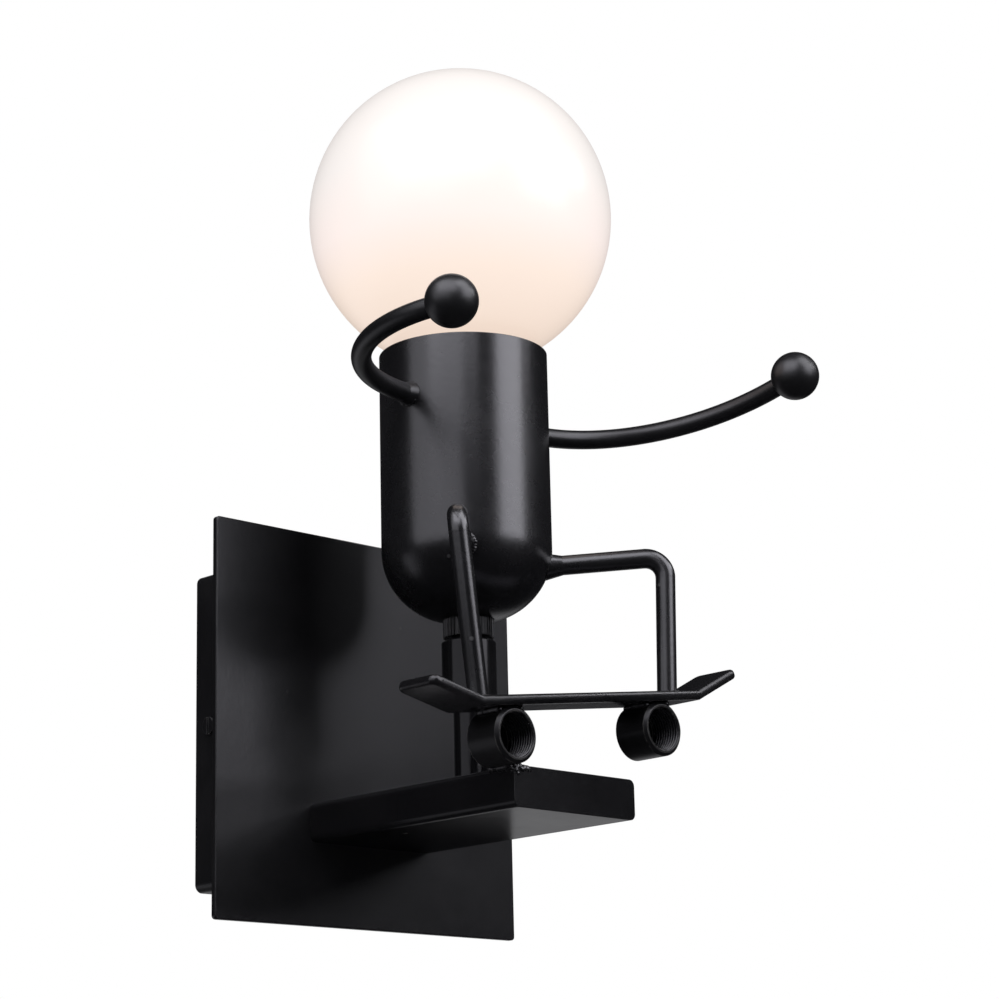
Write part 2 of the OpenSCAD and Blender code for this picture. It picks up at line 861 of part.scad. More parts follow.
// Middle line of an arm: a root, a first direction, a direction of bending, a radius and an angle
function arm_root(side, drop) = [side * root_x, axis_y - root_forward, cup_rim - drop];
function arm_lift(tilt) = [0, -cos(tilt), sin(tilt)];
function arm_end(side, drop, r, sweep, tilt) =
    arm_root(side, drop) + r * (1 - cos(sweep)) * arm_lift(tilt) + r * sin(sweep) * [side, 0, 0];
function arm_heading(side, sweep, tilt) = sin(sweep) * arm_lift(tilt) + cos(sweep) * [side, 0, 0];

// Flare of weld metal along +z, from below the cup's skin to the rod
module weld_cone() {
    cylinder(r1 = weld_r, r2 = rod_d / 2 - hole_gap, h = weld_root + weld_l);
}

module arm(side, drop, r, sweep, tilt) {
    root = arm_root(side, drop);
    lift = arm_lift(tilt);
    out = [side, 0, 0];
    difference() {
        union() {
            translate(root + r * lift)
                rotate(frame_angles(-lift, out, cross(out, lift)))
                    rotate_extrude(angle = sweep, $fn = 128)
                        translate([r, 0]) circle(rod_d / 2, $fn = 48);
            translate(root) along(out) weld_cone();
            translate(arm_end(side, drop, r, sweep, tilt))
                along(arm_heading(side, sweep, tilt)) disc(tenon_r, -cut, tenon_l);
        }
        cup_block();
    }
}

module right_arm() {
    color(paint) arm(1, right_arm_drop, right_arm_r, right_arm_sweep, right_arm_tilt);
}

module left_arm() {
    color(paint) arm(-1, left_arm_drop, left_arm_r, left_arm_sweep, left_arm_tilt);
}

// Ball with a flat for the rod's shoulder and a hole for its tenon
module hand(end, heading) {
    translate(end) along(heading) difference() {
        translate([0, 0, hand_seat]) sphere(hand_d / 2, $fn = 96);
        disc(rod_d / 2 + hole_gap, -hand_d / 2, 0);
        disc(tenon_r + hole_gap, -cut, tenon_l + hole_gap);
    }
}

module right_hand() {
    color(paint) hand(arm_end(1, right_arm_drop, right_arm_r, right_arm_sweep, right_arm_tilt),
        arm_heading(1, right_arm_sweep, right_arm_tilt));
}

module left_hand() {
    color(paint) hand(arm_end(-1, left_arm_drop, left_arm_r, left_arm_sweep, left_arm_tilt),
        arm_heading(-1, left_arm_sweep, left_arm_tilt));
}

// Leg from inside the cup's skin to below the board's top, cut to both; the shin leans inwards
module leg(side, lean, lift) {
    out = [side * sin(leg_angle), -cos(leg_angle), 0];
    hip = [0, axis_y, cup_base + hip_lift + lift] + hip_r * out;
    knee = [0, axis_y, cup_base + knee_lift + lift] + knee_reach * out;
    down = [-side * sin(lean), 0, -cos(lean)];
    shin = knee[2] - deck_z + deck_flat / 2 * sin(deck_tilt) + rod_d;
    thigh = unit(knee - hip);
    difference() {
        union() {
            bent_rod([hip, knee, knee + shin * down], rod_d / 2, knee_r);
            translate(hip + (cup_d / 2 - hip_r - weld_root) * thigh) along(thigh) weld_cone();
        }
        cup_block();
        on_deck() translate([-deck_flat, -deck_w, -deck_flat])
            cube([2 * deck_flat, 2 * deck_w, deck_flat]);
    }
}

module right_leg() {
    color(paint) leg(1, right_shin_lean, 0);
}

module left_leg() {
    color(paint) leg(-1, deck_tilt, left_leg_lift);
}

// Tool that rounds off the corner at the origin of what lies at x < 0 and y < 0
module corner_tool(r, depth) {
    linear_extrude(depth, center = true) difference() {
        translate([-r, -r]) square(r + cut);
        translate([-r, -r]) circle(r);
    }
}

// Board with raised ends: one bent strip, drawn from the side, with its end corners rounded off
module deck() {
    half = deck_flat / 2;
    mitre = deck_t * tan(kick_angle / 2);
    tip = half + kick_l * cos(kick_angle);
    rise = kick_l * sin(kick_angle);
    back = [deck_t * sin(kick_angle), deck_t * cos(kick_angle)];
    side = [[half, 0], [tip, rise], [tip + back[0], rise - back[1]], [half + mitre, -deck_t]];
    outline = concat(side, [for (i = [3 : -1 : 0]) [-side[i][0], side[i][1]]]);
    color(paint) on_deck() translate([deck_shift, 0, 0]) difference() {
        translate([0, deck_w / 2, 0]) rotate([90, 0, 0]) linear_extrude(deck_w) polygon(outline);
        for (end = [0, 180], flank = [-1, 1]) {
            rotate([0, 0, end]) translate([half, 0, 0]) rotate([0, -kick_angle, 0])
                translate([kick_l, flank * deck_w / 2, 0])
                    rotate([0, 0, 45 * (flank - 1)]) corner_tool(deck_corner_r, 4 * deck_t);
        }
    }
}

// Short turned tube, closed at the back; its front rim is chamfered down to a narrow ring
module wheel(side) {
    x = wheel_mid + side * wheel_spacing / 2;
    r = wheel_d / 2;
    bore = wheel_bore / 2;
    rim = 0.55 * (r - bore);
    mouth = 0.15 * (r - bore);
    front = wheel_l / 2;
    floor_z = wheel_back - front;
    outside = [[0, -front], [r, -front], [r, front - rim], [r - rim, front]];
    inside = [[bore + mouth, front], [bore, front - mouth], [bore, floor_z], [0, floor_z]];
    color(paint) on_deck() translate([x, -wheel_lead, -wheel_drop])
        rotate([90, 0, 0]) rotate_extrude() polygon(concat(outside, inside));
}

module left_wheel() {
    wheel(-1);
}

module right_wheel() {
    wheel(1);
}

// Beads in the corners between the wheels and the board
module wheel_welds() {
    bead_r = 1.1;
    bead_l = wheel_l * 0.7;
    reach = wheel_d / 4;
    gap = weld_gap + wheel_d / 2 - sqrt(pow(wheel_d / 2, 2) - pow(reach, 2));
    color(paint) on_deck() for (side = [-1, 1], flank = [-1, 1]) {
        x = wheel_mid + side * wheel_spacing / 2;
        difference() {
            translate([x + flank * reach, -wheel_lead, -deck_t - gap / 2])
                rotate([90, 0, 0]) cylinder(r = bead_r, h = bead_l, center = true);
            translate([x, 0, -wheel_drop])
                rotate([90, 0, 0]) cylinder(r = wheel_d / 2, h = 2 * wheel_l, center = true);
            translate([x - wheel_d, -wheel_l, -deck_t]) cube([2 * wheel_d, 2 * wheel_l, deck_t]);
        }
    }
}

// Bead that ties the left wheel to the shelf's front corner
module shelf_weld() {
    bead_r = 1.6;
    bead_l = 6;
    corner = [-min(shelf_w / 2, -left_wheel_x), axis_y - shelf_d + stem_forward, shelf_top];
    color(paint) difference() {
        translate(corner) rotate([-90, 0, 0]) cylinder(r = bead_r, h = bead_l);
        translate([left_wheel_x, axis_y - knee_forward, left_wheel_z])
            rotate([90, 0, 0]) cylinder(r = wheel_d / 2, h = 2 * wheel_l, center = true);
        translate([0, 0, shelf_mid])
            outward(plate_front, shelf_d + cut) round_rect(shelf_w, shelf_h, shelf_corner_r);
    }
}

wall_bracket();
canopy();
canopy_screws();
backplate();
terminal_block();
terminal_screws();
earth_screw();
shelf();
stem_tube();
shelf_nut();
stem_collar();
barrel();
knurled_ring();
cup();
cup_washer();
cup_nut();
holder_bracket();
holder_nut();
holder_screws();
holder_body();
screw_shell();
centre_contact();
contact_spring();
holder_terminals();
live_lead();
neutral_lead();
bulb_globe();
bulb_neck();
bulb_led_board();
bulb_cap();
bulb_insulator();
bulb_tip();
left_arm();
right_arm();
left_hand();
right_hand();
left_leg();
right_leg();
deck();
left_wheel();
right_wheel();
wheel_welds();
shelf_weld();
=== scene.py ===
# %% [markdown]
# # A wall lamp in the shape of a rod figure
# The lamp is a small figure of bent rods with a cup for a body and a globe bulb for a head. It rides a
# tilted board over a shelf that stands out of a square wall plate. The solid parts come from the packed
# CAD model and stay where they are. This lesson gives them their finishes, adds threads and weld beads,
# and sets up the studio. Everything is in metres, with the wall at y = 0 and the room towards -y.

# %% Load the frame
import json
import math
import bpy
import bmesh
from mathutils import Matrix, Vector
from mathutils.bvhtree import BVHTree


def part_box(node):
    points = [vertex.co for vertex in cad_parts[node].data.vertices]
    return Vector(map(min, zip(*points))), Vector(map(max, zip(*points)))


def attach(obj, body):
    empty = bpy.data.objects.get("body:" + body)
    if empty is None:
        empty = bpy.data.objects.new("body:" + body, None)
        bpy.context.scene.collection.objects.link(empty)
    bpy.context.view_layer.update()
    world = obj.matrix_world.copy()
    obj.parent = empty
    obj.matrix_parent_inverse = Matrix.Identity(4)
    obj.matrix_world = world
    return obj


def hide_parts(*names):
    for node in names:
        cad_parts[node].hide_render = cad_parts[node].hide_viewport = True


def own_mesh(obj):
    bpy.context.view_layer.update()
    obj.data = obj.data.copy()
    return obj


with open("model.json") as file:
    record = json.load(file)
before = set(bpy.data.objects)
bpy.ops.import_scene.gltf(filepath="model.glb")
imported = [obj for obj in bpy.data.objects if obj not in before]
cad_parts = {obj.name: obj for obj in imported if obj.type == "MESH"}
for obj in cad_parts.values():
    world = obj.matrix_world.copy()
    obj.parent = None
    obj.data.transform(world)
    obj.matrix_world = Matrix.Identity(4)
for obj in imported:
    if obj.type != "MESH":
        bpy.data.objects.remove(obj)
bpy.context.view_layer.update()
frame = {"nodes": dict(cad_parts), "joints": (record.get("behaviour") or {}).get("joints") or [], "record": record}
nodes = frame["nodes"]
scene = bpy.context.scene
scene.view_settings.view_transform = "Standard"

# %% [markdown]
# ## Camera
# The photograph was taken from the left and from below, with a long lens. The camera's place was worked
# out from the edges of plate, shelf and cup. Its three axes are built from an azimuth, an elevation and a
# small roll, and a matrix takes them over without any constraint.

# %% Camera
IMAGE_PIXELS = 999
SENSOR_MM = 36.0
FOCAL_PIXELS = 2726.4
CAMERA_PLACE = Vector((-0.5558, -0.6585, -0.1471))
CAMERA_AZIMUTH = math.radians(-44.12)
CAMERA_ELEVATION = math.radians(-14.77)
CAMERA_ROLL = math.radians(-1.32)


def camera_axes(azimuth, elevation, roll):
    """Right, up and backward directions of a camera."""
    flat = math.cos(elevation)
    back = Vector((math.sin(azimuth) * flat, -math.cos(azimuth) * flat, math.sin(elevation)))
    level = Vector((math.cos(azimuth), math.sin(azimuth), 0.0))
    rise = back.cross(level)
    right = level * math.cos(roll) + rise * math.sin(roll)
    return right, back.cross(right), back


def placed(right, up, back, place):
    """Matrix with these axes as columns."""
    turn = Matrix((right, up, back)).transposed()
    return Matrix.Translation(place) @ turn.to_4x4()


camera = bpy.data.objects.new("photo_camera", bpy.data.cameras.new("photo_camera"))
scene.collection.objects.link(camera)
camera.data.sensor_width = SENSOR_MM
camera.data.lens = FOCAL_PIXELS * SENSOR_MM / IMAGE_PIXELS
camera.data.clip_start = 0.01
camera.matrix_world = placed(*camera_axes(CAMERA_AZIMUTH, CAMERA_ELEVATION, CAMERA_ROLL), CAMERA_PLACE)
scene.camera = camera
print("lens", round(camera.data.lens, 2), "mm")

# %% [markdown]
# ## Writing shader maths as Python
# A node tree is easier to read as a formula. This class wraps one socket. Adding or multiplying two of
# them adds the Math node that does it, and the reflected forms let a plain number stand on the left. Any
# other node comes from `node`, which sets the node's settings first and then its sockets. Colours go
# through a Mix node, because a Math node would turn them grey.


# %% Wire
class Wire:
    """One output socket of a node tree, with arithmetic."""

    def __init__(self, socket):
        self.socket = socket
        self.tree = socket.id_data

    @staticmethod
    def node(tree, kind, settings=None, sockets=None, out=0):
        """Adds a node, with settings first, then the values or links of its sockets."""
        made = tree.nodes.new(kind)
        for name, value in (settings or {}).items():
            if name == "stops":
                Wire.fill_ramp(made.color_ramp, value)
            else:
                setattr(made, name, value)
        for name, value in (sockets or {}).items():
            if isinstance(value, Wire):
                tree.links.new(value.socket, made.inputs[name])
            else:
                made.inputs[name].default_value = value
        return Wire(made.outputs[out]) if made.outputs else made

    @staticmethod
    def fill_ramp(ramp, stops):
        """Gives a colour ramp its stops, as pairs of place and colour."""
        while len(ramp.elements) < len(stops):
            ramp.elements.new(1.0)
        for element, (place, colour) in zip(ramp.elements, stops):
            element.position = place
            element.color = (*colour, 1.0)

    def other(self, name):
        """Another output of the same node."""
        return Wire(self.socket.node.outputs[name])

    def math(self, operation, first, second=0.0, clamp=False):
        settings = {"operation": operation, "use_clamp": clamp}
        return Wire.node(self.tree, "ShaderNodeMath", settings, {0: first, 1: second})

    def __add__(self, value):
        return self.math("ADD", self, value)

    def __radd__(self, value):
        return self.math("ADD", value, self)

    def __sub__(self, value):
        return self.math("SUBTRACT", self, value)

    def __rsub__(self, value):
        return self.math("SUBTRACT", value, self)

    def __mul__(self, value):
        return self.math("MULTIPLY", self, value)

    def __rmul__(self, value):
        return self.math("MULTIPLY", value, self)

    def __gt__(self, value):
        return self.math("GREATER_THAN", self, value)

    def held(self):
        """The value kept between 0 and 1."""
        return self.math("ADD", self, 0.0, clamp=True)

    def step(self, low, high):
        """0 below low, 1 above high, and a smooth rise between them."""
        settings = {"interpolation_type": "SMOOTHSTEP"}
        sockets = {"Value": self, "From Min": low, "From Max": high}
        return Wire.node(self.tree, "ShaderNodeMapRange", settings, sockets)


def blend_colours(factor, first, second):
    """Mixes two colours, each a tuple or a Wire."""
    settings = {"data_type": "RGBA", "clamp_factor": True}
    ends = [c if isinstance(c, Wire) else (*c, 1.0) for c in (first, second)]
    return Wire.node(factor.tree, "ShaderNodeMix", settings, {0: factor, 6: ends[0], 7: ends[1]}, out=2)


print("socket arithmetic ready")

# %% [markdown]
# ## Studio
# The photograph shows two large soft lights: a dim wide one on the left and a stronger one on the right.
# Both show as upright bands in the black paint, with dark between and beside them, so the studio round
# them is a dark tent. The tent is only seen by reflections, and one part of it is pale: a sweep low behind
# the wall plate, which shows in the shelf's underside. The background is white, as the world's own colour.
# A pale floor far below takes the shadow, and fades to the same white where it is far from the lamp.

# %% Floor and tent
FLOOR_Z = -0.45
FLOOR_HALF = 4.0
FLOOR_COLOUR = (0.78, 0.775, 0.765)
FLOOR_SHADE = 0.95
FLOOR_GRAIN = 30.0
FLOOR_FADE = (0.6, 2.4)
TENT_RADIUS = 3.2
TENT_GLOW = (0.016, 0.016, 0.018)
SWEEP_GLOW = (0.41, 0.41, 0.42)
# Where the sweep begins and ends, in tent radii
SWEEP_BEHIND = (0.35, 0.6)
SWEEP_FOOT = (-0.62, -0.42)
SWEEP_TOP = (-0.16, -0.04)


def new_material(name):
    """An empty node material and its tree."""
    material = bpy.data.materials.new(name)
    material.use_nodes = True
    material.node_tree.nodes.clear()
    return material, material.node_tree


def object_coordinates(tree):
    return Wire.node(tree, "ShaderNodeTexCoord", out="Object")


def noise(place, scale, detail=2.0, roughness=0.5):
    """Noise of a given scale, in features per metre."""
    sockets = {"Vector": place, "Scale": scale, "Detail": detail, "Roughness": roughness}
    return Wire.node(place.tree, "ShaderNodeTexNoise", None, sockets)


def seen_plainly(tree):
    """1 for what is seen straight, in a reflection or through glass, and 0 for all other light."""
    path = Wire.node(tree, "ShaderNodeLightPath", out="Is Camera Ray")
    return (path + path.other("Is Glossy Ray") + path.other("Is Transmission Ray")).held()


def surface_output(shader):
    Wire.node(shader.tree, "ShaderNodeOutputMaterial", None, {"Surface": shader})


def new_object(name, mesh, material):
    made = bpy.data.objects.new(name, mesh)
    mesh.materials.append(material)
    scene.collection.objects.link(made)
    return made


def floor_finish():
    """Pale cloth near the lamp. Far away it is seen as white, like the background."""
    material, tree = new_material("pale_floor")
    place = object_coordinates(tree)
    grain = noise(place, FLOOR_GRAIN, 4.0)
    tint = blend_colours(grain, FLOOR_COLOUR, tuple(FLOOR_SHADE * c for c in FLOOR_COLOUR))
    cloth = Wire.node(tree, "ShaderNodeBsdfDiffuse", None, {"Color": tint, "Roughness": 0.5})
    white = Wire.node(tree, "ShaderNodeEmission", None, {"Color": (1, 1, 1, 1)})
    far = Wire.node(tree, "ShaderNodeVectorMath", {"operation": "LENGTH"}, {0: place}, "Value")
    fade = far.step(*FLOOR_FADE) * seen_plainly(tree)
    surface_output(Wire.node(tree, "ShaderNodeMixShader", None, {0: fade, 1: cloth, 2: white}))
    return material


def tent_finish():
    """Dark cloth with a pale sweep low at the back, told apart by their place."""
    material, tree = new_material("dark_tent")
    height = Wire.node(tree, "ShaderNodeSeparateXYZ", None, {"Vector": object_coordinates(tree)}, out="Z")
    behind = height.other("Y").step(*(share * TENT_RADIUS for share in SWEEP_BEHIND))
    foot = height.step(*(share * TENT_RADIUS for share in SWEEP_FOOT))
    top = height.step(*(share * TENT_RADIUS for share in SWEEP_TOP))
    glow = blend_colours(behind * foot * (1.0 - top), TENT_GLOW, SWEEP_GLOW)
    surface_output(Wire.node(tree, "ShaderNodeEmission", None, {"Color": glow}))
    return material


floor_mesh = bpy.data.meshes.new("floor")
corners = [(x * FLOOR_HALF, y * FLOOR_HALF, FLOOR_Z) for x, y in ((-1, -1), (1, -1), (1, 1), (-1, 1))]
floor_mesh.from_pydata(corners, [], [(0, 1, 2, 3)])
floor = new_object("floor", floor_mesh, floor_finish())
floor.visible_glossy = False

shape = bmesh.new()
bmesh.ops.create_uvsphere(shape, u_segments=48, v_segments=24, radius=TENT_RADIUS)
tent_mesh = bpy.data.meshes.new("tent")
shape.to_mesh(tent_mesh)
shape.free()
tent = new_object("tent", tent_mesh, tent_finish())
tent.visible_camera = False
tent.visible_diffuse = False
tent.visible_transmission = False
tent.visible_shadow = False
print("floor at", FLOOR_Z, "and a tent of", len(tent_mesh.polygons), "faces")

# %% [markdown]
# A soft light is an area lamp. Its radiance, and so how bright it looks in a reflection, is its power
# divided by pi and by its area, so the power is worked out from the radiance that the paint should show.
# Directions are given as seen from the lamp's cup, turned from the camera's own direction. Beside the two
# large lights there are two small ones. A near one in front is only seen by the upper half of the cup, so
# the cup grows brighter towards its rim. One far to the right draws the line along the board's edge.

# %% Soft lights
LIGHT_AIM = Vector((0.0, -0.0705, 0.07))
LIGHT_DISTANCE = 1.1


def soft_light(name, turn, elevation, width, height, radiance, distance=LIGHT_DISTANCE):
    """Area lamp that faces the lamp's cup from a turn to the right of the camera."""
    azimuth = CAMERA_AZIMUTH + math.radians(turn)
    right, up, back = camera_axes(azimuth, math.radians(elevation), 0.0)
    data = bpy.data.lights.new(name, "AREA")
    data.shape = "RECTANGLE"
    data.size = width
    data.size_y = height
    data.energy = radiance * math.pi * width * height
    lamp = bpy.data.objects.new(name, data)
    scene.collection.objects.link(lamp)
    lamp.matrix_world = placed(right, up, back, LIGHT_AIM + back * distance)
    lamp.visible_camera = False
    print(name, round(data.energy, 2), "W")


soft_light("left_soft_light", turn=-37.5, elevation=35.0, width=1.66, height=1.50, radiance=1.14)
soft_light("front_soft_light", turn=-13.0, elevation=47.0, width=0.48, height=0.34, radiance=2.4,
           distance=0.4)
soft_light("right_soft_light", turn=65.3, elevation=37.0, width=0.78, height=1.30, radiance=3.75)
soft_light("edge_soft_light", turn=98.0, elevation=30.0, width=0.24, height=0.24, radiance=7.0)

# %% [markdown]
# The world is white where it is seen, so that the background is plain white. To the rest of the light it
# is only a weak fill. Reflections would show it too, but they meet the tent first.

# %% World
WORLD_FILL = 0.55
world = bpy.data.worlds.new("studio_white")
scene.world = world
world.use_nodes = True
world.node_tree.nodes.clear()
level = seen_plainly(world.node_tree) * (1.0 - WORLD_FILL) + WORLD_FILL
sky = Wire.node(world.node_tree, "ShaderNodeBackground", None, {"Color": (1, 1, 1, 1), "Strength": level})
Wire.node(world.node_tree, "ShaderNodeOutputWorld", None, {"Surface": sky})
print("world fill", WORLD_FILL)

# %% [markdown]
# ## Edges and cells
# Real sheet and rod have no knife edges: paint and wear round them over by some tenths of a millimetre.
# The Bevel node rounds the shading there without new faces. Where its rounded direction departs from the
# flat one there is an edge, and that gives the mask along which paint wears and a highlight is painted.
# Specks, such as nubs, crystals and pinholes, come from Voronoi cells, each with a random number that
# picks a few of them.

# %% Edge helpers
BEVEL_SAMPLES = 6
EDGE_TURN = (0.004, 0.12)


def rounded(tree, radius):
    """Rounded shading direction, and a mask that is 1 along sharp edges."""
    soft = Wire.node(tree, "ShaderNodeBevel", {"samples": BEVEL_SAMPLES}, {"Radius": radius})
    flat = Wire.node(tree, "ShaderNodeNewGeometry", out="Normal")
    product = {"operation": "DOT_PRODUCT"}
    along = Wire.node(tree, "ShaderNodeVectorMath", product, {0: soft, 1: flat}, "Value")
    return soft, (1.0 - along).step(*EDGE_TURN)


def cells(place, scale):
    """Cells of a given scale: the distance from each one's middle, and a random number for each."""
    middle = Wire.node(place.tree, "ShaderNodeTexVoronoi", None, {"Vector": place, "Scale": scale})
    lot = Wire.node(place.tree, "ShaderNodeSeparateColor", None, {"Color": middle.other("Color")})
    return middle, lot


def bumped(height, strength, distance, normal):
    sockets = {"Height": height, "Strength": strength, "Distance": distance, "Normal": normal}
    return Wire.node(height.tree, "ShaderNodeBump", None, sockets)


def principled(tree, **sockets):
    """Principled surface; underscores in the names stand for spaces."""
    values = {name.replace("_", " "): value for name, value in sockets.items()}
    surface_output(Wire.node(tree, "ShaderNodeBsdfPrincipled", None, values))


print("edge helpers ready")

# %% [markdown]
# ## Black paint
# All of the figure, the shelf and the wall plate have a satin black paint. Close up it has a fine orange
# peel, slow changes of gloss, a few dust nubs, and a thinner, paler line on edges, which is partly wear and
# partly a painted highlight. Noise of three sizes gives these, in Object coordinates, so that they keep their
# size on every piece. Each piece was sprayed by itself: arms and wall plate came out duller than the cup, and
# shelf, board and stem smoother but with a weaker shine. On the rims of the wheel tubes the pale edge line is
# strongest, partly rubbed paint and partly a painted highlight. So gloss, specular level and the strength of
# the pale edge line are values of the function. The cool tint of all their shine is painted: it stands for
# the cool colour of the studio lights.

# %% Black paint
PAINT = (0.0026, 0.0026, 0.0031)
PAINT_FADED = (0.0050, 0.0049, 0.0056)
# Paler paint of edges and nubs; on the edges it is partly wear and partly a painted highlight
PAINT_WORN_AND_HIGHLIGHT = (0.080, 0.078, 0.077)
# Cool tint of the paint's shine: it is painted, and stands for the cool colour of the studio lights
COOL_LIGHT_TINT = (0.92, 0.91, 1.0, 1.0)
# Sizes of the three noises and of the nubs' cells, in features per metre
BROAD_SCALE = 22.0
FINE_SCALE = 260.0
PEEL_SCALE = 700.0
NUB_CELLS = 150.0
# Share of cells without a nub, and a nub's soft rim in cell sizes
NUB_FREE = 0.93
NUB_RIM = (0.05, 0.13)
NUB_TONE = 0.25
NUB_RELIEF = 0.6
# Noise levels between which the paint fades, and between which the pale edge line shows (wear and painted
# highlight)
FADE_LEVELS = (0.35, 0.7)
EDGE_LINE_LEVELS = (0.38, 0.62)
# What each pattern adds to the roughness
BROAD_GLOSS = 0.10
FINE_GLOSS = 0.06
NUB_GLOSS = 0.25
EDGE_GLOSS = 0.05
PAINT_BUMP = 0.00004


def black_paint(name, roughness, peel, edge, specular=0.85, wear_and_highlight=0.45):
    """Satin paint with a given roughness, depth of orange peel, edge radius, and strength of the pale edge line,
    which is partly wear and partly a painted highlight.
    """
    material, tree = new_material(name)
    place = object_coordinates(tree)
    soft, sharp_edges = rounded(tree, edge)
    broad = noise(place, BROAD_SCALE, 3.0)
    fine = noise(place, FINE_SCALE, 3.0)
    skin = noise(place, PEEL_SCALE, 1.5)
    distance, lot = cells(place, NUB_CELLS)
    nubs = (lot > NUB_FREE) * (1.0 - distance.step(*NUB_RIM))
    tone = blend_colours(broad.step(*FADE_LEVELS), PAINT, PAINT_FADED)
    # Along sharp edges the paint is painted paler: partly wear, partly a painted highlight
    rubbed_and_highlit = sharp_edges * fine.step(*EDGE_LINE_LEVELS)
    tone = blend_colours((rubbed_and_highlit * wear_and_highlight + nubs * NUB_TONE).held(), tone, PAINT_WORN_AND_HIGHLIGHT)
    least = roughness - (BROAD_GLOSS + FINE_GLOSS) / 2
    gloss = broad * BROAD_GLOSS + fine * FINE_GLOSS + nubs * NUB_GLOSS + sharp_edges * EDGE_GLOSS + least
    relief = skin * peel + nubs * NUB_RELIEF
    normal = bumped(relief, 1.0, PAINT_BUMP, soft)
    principled(tree, Base_Color=tone, Roughness=gloss.held(), Specular_IOR_Level=specular,
               Specular_Tint=COOL_LIGHT_TINT, Normal=normal)
    return material


cup_black = black_paint("cup_black_paint", roughness=0.27, peel=0.5, edge=0.0004)
arm_black = black_paint("arm_black_paint", roughness=0.37, peel=0.5, edge=0.0004, specular=0.6)
plate_black = black_paint("plate_black_paint", roughness=0.32, peel=0.5, edge=0.0004, specular=0.5)
shelf_black = black_paint("shelf_black_paint", roughness=0.22, peel=0.5, edge=0.0003, specular=0.3,
                          wear_and_highlight=0.15)
# The board's pale edge line is partly wear and partly a painted highlight
deck_black = black_paint("deck_black_paint", roughness=0.18, peel=0.5, edge=0.0012, specular=0.5,
                         wear_and_highlight=0.5)
stem_black = black_paint("stem_black_paint", roughness=0.18, peel=0.4, edge=0.0003, specular=0.25)
# The wheel rims have the palest edge line: partly rubbed paint and partly a painted highlight
rim_black = black_paint("rim_black_paint", roughness=0.30, peel=0.4, edge=0.0003, specular=0.3,
                        wear_and_highlight=2.0)
print("paints:", [m.name for m in bpy.data.materials if m.name.endswith("black_paint")])

# %% [markdown]
# ## Plated steel and brass
# Brackets, nuts and the bulb's cap are zinc-plated steel, with the faint patchy crystals of the plating.
# Terminals, shell and contact are plain brass that has darkened in patches. Both are metals, so the colour
# is in the reflection, and cells and noise vary it a little.

# %% Metals
METAL_EDGE = 0.0002
METAL_BUMP = 0.00003
# Patches of the plating, and the fine scratches, in features per metre
PATCH_SCALE = 90.0
SCRATCH_SCALE = 1500.0
PATCH_LEVELS = (0.25, 0.75)
# How much edges shine, and how much brighter they are
EDGE_SHINE = 0.6
EDGE_LIFT = 1.15
PATCH_GLOSS = 0.16
CRYSTAL_GLOSS = 0.08


def metal(name, light, dark, roughness, crystals, peel):
    """Metal with patches of two colours, brushed unevenness and bright edges."""
    material, tree = new_material(name)
    place = object_coordinates(tree)
    soft, sharp_edges = rounded(tree, METAL_EDGE)
    lot = cells(place, crystals)[1]
    cloud = noise(place, PATCH_SCALE, 4.0)
    tone = blend_colours((lot * 0.5 + cloud * 0.5).step(*PATCH_LEVELS), dark, light)
    tone = blend_colours(sharp_edges * EDGE_SHINE, tone, tuple(min(1.0, EDGE_LIFT * c) for c in light))
    least = roughness - (PATCH_GLOSS + CRYSTAL_GLOSS) / 2
    gloss = cloud * PATCH_GLOSS + lot * CRYSTAL_GLOSS + least
    normal = bumped(noise(place, SCRATCH_SCALE, 2.0), peel, METAL_BUMP, soft)
    principled(tree, Base_Color=tone, Roughness=gloss.held(), Metallic=1.0, Normal=normal)
    return material


zinc = metal("zinc_plate", light=(0.62, 0.63, 0.66), dark=(0.46, 0.47, 0.50), roughness=0.34,
             crystals=420.0, peel=0.5)
brass = metal("plain_brass", light=(0.76, 0.58, 0.27), dark=(0.52, 0.36, 0.15), roughness=0.30,
              crystals=260.0, peel=0.3)
print("metals:", zinc.name, brass.name)

# %% [markdown]
# ## Porcelain, plastics and leads
# The lampholder body is glazed porcelain with pinholes in the glaze, the terminal block and the bulb's
# neck are moulded plastic with a fine spark-eroded grain, and the leads have a dull, waxy insulation. One
# function serves them all with other colours, gloss and grain.

# %% Moulded and glazed
MOULDED_EDGE = 0.0003
MOULDED_BUMP = 0.00004
CLOUD_SCALE = 60.0
GRAIN_SCALE = 1100.0
CLOUD_LEVELS = (0.3, 0.75)
CLOUD_GLOSS = 0.10
GRAIN_GLOSS = 0.08
# Pinholes: cells per metre, share of cells without one, soft rim, and the dirt in them and along edges
PINHOLE_CELLS = 340.0
PINHOLE_FREE = 0.94
PINHOLE_RIM = (0.04, 0.1)
PINHOLE_DIRT = 0.8
PINHOLE_GLOSS = 0.3
EDGE_DIRT = 0.15
DIRT_SHADE = 0.45


